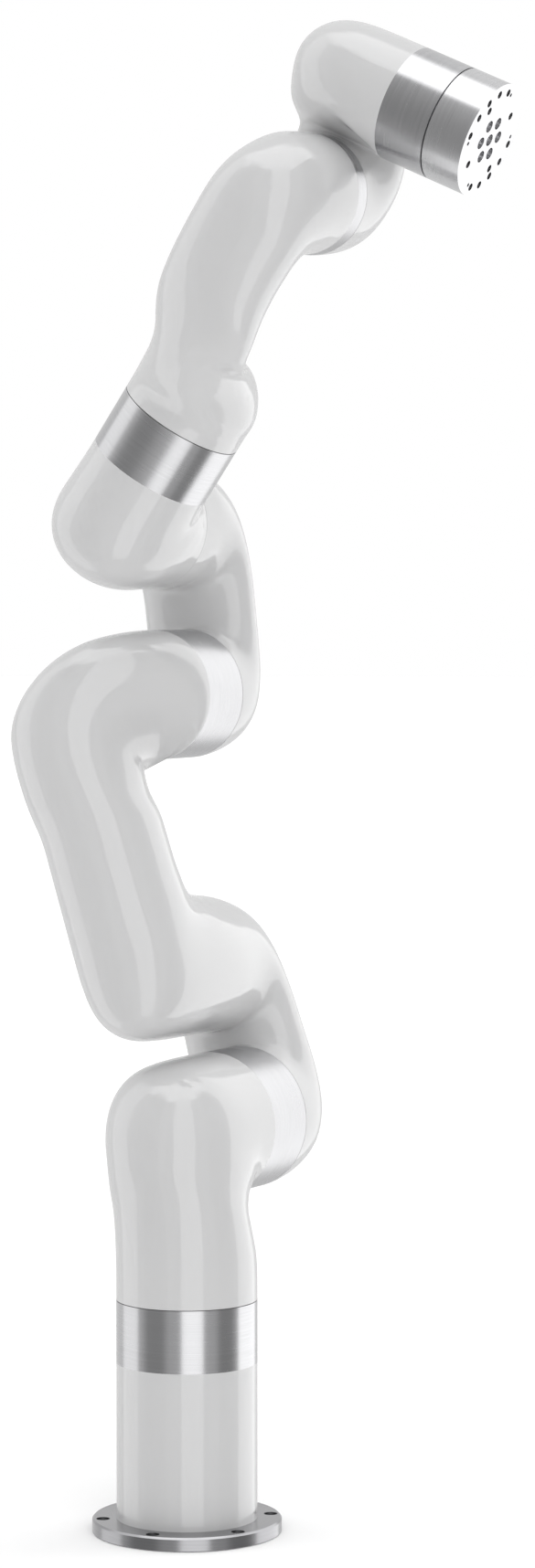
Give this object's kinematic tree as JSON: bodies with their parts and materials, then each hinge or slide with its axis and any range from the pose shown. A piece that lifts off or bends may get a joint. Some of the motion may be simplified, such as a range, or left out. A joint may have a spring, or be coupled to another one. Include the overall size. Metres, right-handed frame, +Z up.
{
  "type": "collaborative robot arm",
  "caption": "Slender white six-axis collaborative robot arm with brushed metal joint rings, a round bolt-down base and a round tool flange.",
  "frame": {"origin": "centre of the underside of the round base flange", "axes": "+Z up along the first joint; the arm reaches towards +X and up, held in the pose of the picture"},
  "size_m": [0.3352, 0.2607, 0.9866],
  "materials": {
    "white_paint": "gloss white paint on cast alloy",
    "brushed_ring": "turned and brushed, clear anodised",
    "tool_alloy": "turned, clear anodised",
    "flange_alloy": "turned, satin",
    "machined_alloy": "machined",
    "gear_steel": "ground",
    "rotor_steel": "ground",
    "copper_stator": "varnished copper windings",
    "circuit_board": "solder mask",
    "black_panel": "moulded",
    "socket_metal": "nickel plated"
  },
  "bodies": {
    "base": {"base_flange": "flange_alloy", "base_housing": "white_paint", "connector_panel": "black_panel", "power_socket": "socket_metal", "signal_socket": "socket_metal", "air_socket": "socket_metal", "joint_a_ring": "brushed_ring", "joint_a_gear_housing": "machined_alloy", "joint_a_stator": "copper_stator", "joint_a_drive_board": "circuit_board"},
    "shoulder": {"shoulder_shell": "white_paint", "joint_a_flexspline": "gear_steel", "joint_a_output_hub": "machined_alloy", "joint_b_ring": "brushed_ring", "joint_b_gear_housing": "machined_alloy", "joint_b_stator": "copper_stator", "joint_b_drive_board": "circuit_board"},
    "upper_arm": {"upper_arm_shell": "white_paint", "joint_b_flexspline": "gear_steel", "joint_b_output_hub": "machined_alloy", "joint_c_ring": "brushed_ring", "joint_c_gear_housing": "machined_alloy", "joint_c_stator": "copper_stator", "joint_c_drive_board": "circuit_board"},
    "elbow": {"elbow_cap_shell": "white_paint", "elbow_roll_shell": "white_paint", "joint_c_flexspline": "gear_steel", "joint_c_output_hub": "machined_alloy", "joint_d_ring": "brushed_ring", "joint_d_gear_housing": "machined_alloy", "joint_d_stator": "copper_stator", "joint_d_drive_board": "circuit_board"},
    "forearm": {"forearm_shell": "white_paint", "joint_d_flexspline": "gear_steel", "joint_d_output_hub": "machined_alloy", "joint_e_ring": "brushed_ring", "joint_e_gear_housing": "machined_alloy", "joint_e_stator": "copper_stator", "joint_e_drive_board": "circuit_board"},
    "wrist": {"wrist_shell": "white_paint", "joint_e_flexspline": "gear_steel", "joint_e_output_hub": "machined_alloy", "joint_f_ring": "brushed_ring", "joint_f_gear_housing": "machined_alloy", "joint_f_stator": "copper_stator", "joint_f_drive_board": "circuit_board"},
    "tool_end": {"tool_flange": "tool_alloy", "joint_f_flexspline": "gear_steel", "joint_f_output_hub": "machined_alloy"},
    "rotor_a": {"joint_a_rotor": "rotor_steel"},
    "rotor_b": {"joint_b_rotor": "rotor_steel"},
    "rotor_c": {"joint_c_rotor": "rotor_steel"},
    "rotor_d": {"joint_d_rotor": "rotor_steel"},
    "rotor_e": {"joint_e_rotor": "rotor_steel"},
    "rotor_f": {"joint_f_rotor": "rotor_steel"}
  },
  "joints": [
    {"name": "base_turn", "type": "hinge", "parent": "base", "child": "shoulder", "pos_m": [0, 0, 0.1545], "axis": [0, 0, 1], "range_deg": [-413, 307]},
    {"name": "shoulder_lift", "type": "hinge", "parent": "shoulder", "child": "upper_arm", "pos_m": [0.03443, 0.06876, 0.267], "axis": [0.4478, 0.8942, 0], "range_deg": [-99.6, 134]},
    {"name": "elbow_bend", "type": "hinge", "parent": "upper_arm", "child": "elbow", "pos_m": [-0.00464, 0.07792, 0.55384], "axis": [-0.4478, -0.8942, 0], "range_deg": [-125, 94]},
    {"name": "forearm_roll", "type": "hinge", "parent": "elbow", "child": "forearm", "pos_m": [-0.0026, 0.0013, 0.73668], "axis": [0.5224, -0.2616, 0.8116], "range_deg": [-364.7, 355.3]},
    {"name": "wrist_bend", "type": "hinge", "parent": "forearm", "child": "wrist", "pos_m": [0.08476, -0.05114, 0.87671], "axis": [0.3868, 0.9209, 0.0479], "range_deg": [-175.9, 101.1]},
    {"name": "tool_turn", "type": "hinge", "parent": "wrist", "child": "tool_end", "pos_m": [0.17469, -0.08254, 0.91715], "axis": [0.8463, -0.3339, -0.4151], "range_deg": [-343.6, 376.4]},
    {"name": "motor_a_spin", "type": "hinge", "parent": "base", "child": "rotor_a", "pos_m": [0, 0, 0.1345], "axis": [0, 0, 1], "continuous": true},
    {"name": "motor_b_spin", "type": "hinge", "parent": "shoulder", "child": "rotor_b", "pos_m": [0.02548, 0.05088, 0.267], "axis": [0.4478, 0.8942, 0], "continuous": true},
    {"name": "motor_c_spin", "type": "hinge", "parent": "upper_arm", "child": "rotor_c", "pos_m": [-0.01359, 0.06004, 0.55384], "axis": [-0.4478, -0.8942, 0], "continuous": true},
    {"name": "motor_d_spin", "type": "hinge", "parent": "elbow", "child": "rotor_d", "pos_m": [-0.01304, 0.00653, 0.72045], "axis": [0.5224, -0.2616, 0.8116], "continuous": true},
    {"name": "motor_e_spin", "type": "hinge", "parent": "forearm", "child": "rotor_e", "pos_m": [0.07703, -0.06956, 0.87575], "axis": [0.3868, 0.9209, 0.0479], "continuous": true},
    {"name": "motor_f_spin", "type": "hinge", "parent": "wrist", "child": "rotor_f", "pos_m": [0.15777, -0.07587, 0.92546], "axis": [0.8463, -0.3339, -0.4151], "continuous": true}
  ],
  "couplings": [
    {"joint": "motor_a_spin", "follows": "base_turn", "ratio": -100},
    {"joint": "motor_b_spin", "follows": "shoulder_lift", "ratio": -100},
    {"joint": "motor_c_spin", "follows": "elbow_bend", "ratio": -100},
    {"joint": "motor_d_spin", "follows": "forearm_roll", "ratio": -100},
    {"joint": "motor_e_spin", "follows": "wrist_bend", "ratio": -100},
    {"joint": "motor_f_spin", "follows": "tool_turn", "ratio": -100}
  ]
}
